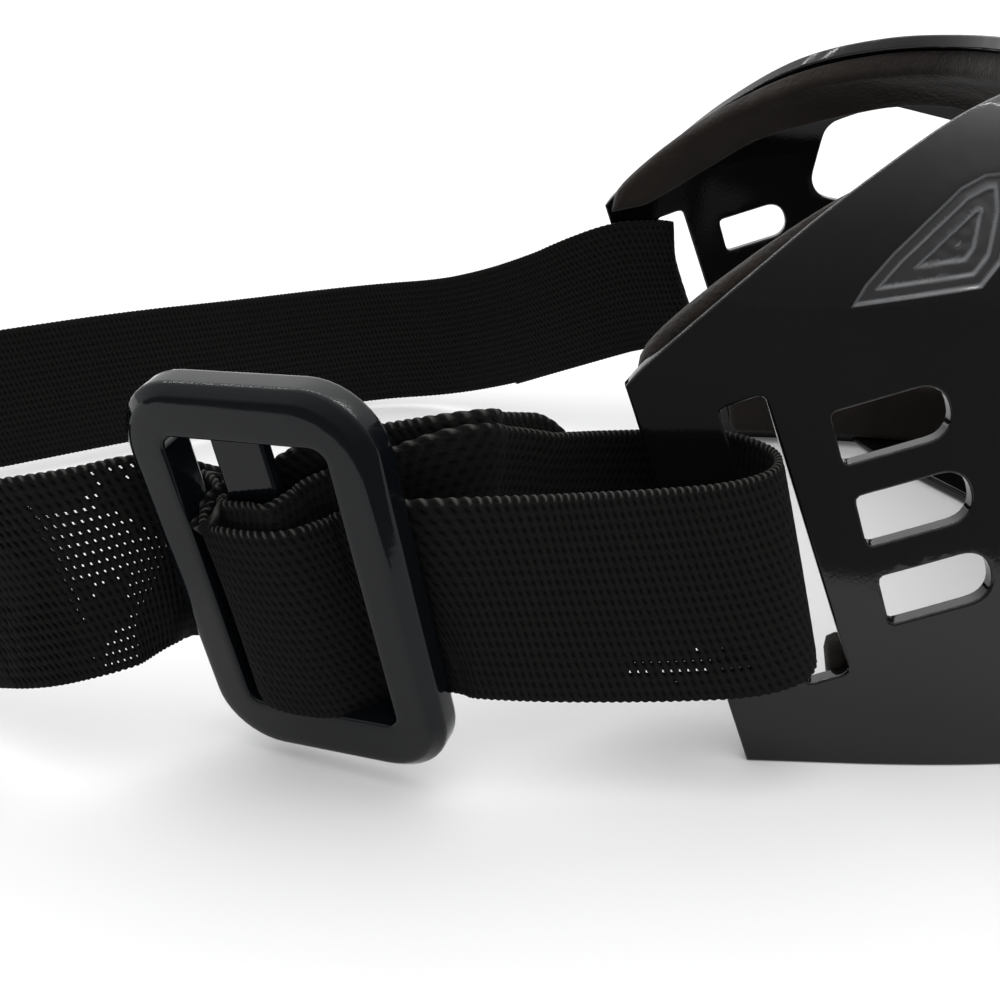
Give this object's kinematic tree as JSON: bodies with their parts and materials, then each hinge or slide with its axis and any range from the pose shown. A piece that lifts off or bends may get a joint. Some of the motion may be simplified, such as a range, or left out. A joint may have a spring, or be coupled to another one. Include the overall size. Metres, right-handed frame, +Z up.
{
  "type": "dog basket muzzle",
  "caption": "Moulded vented basket muzzle with foam-lined rim, elastic neck strap threaded through tab slots and a sliding tri-glide adjuster.",
  "frame": {"origin": "bottom centre of the bounding box, on the surface that the muzzle stands on", "axes": "+X towards the nose, +Y towards the animal's left, +Z up"},
  "size_m": [0.2645, 0.1473, 0.0762],
  "materials": {
    "shell_plastic": "glossy black moulded plastic",
    "slider_plastic": "satin-gloss black moulded plastic",
    "foam": "matte closed-cell foam",
    "elastic": "matte black knitted elastic",
    "thread": "black polyester thread"
  },
  "bodies": {
    "root": {"shell": "shell_plastic", "rim_foam": "foam", "lower_foam_right": "foam", "lower_foam_left": "foam", "neck_strap": "elastic", "adjusting_run": "elastic", "near_run": "elastic", "far_bar_tack": "thread"},
    "strap_end": {"sewn_loop": "elastic", "slider_hump": "elastic", "near_bar_tack": "thread"},
    "slider": {"slider": "slider_plastic"}
  },
  "joints": [
    {"name": "strap_adjust", "type": "slide", "parent": "root", "child": "strap_end", "axis": [0.934, -0.3572, 0], "range_m": [-0.008, 0.007], "deforming": ["adjusting_run", "near_run"]},
    {"name": "slider_tip", "type": "hinge", "parent": "strap_end", "child": "slider", "pos_m": [-0.01411, -0.06326, 0.02575], "axis": [-0.1471, -0.1799, 0.9726], "range_deg": [-12, 12], "deforming": ["sewn_loop", "slider_hump"]}
  ]
}
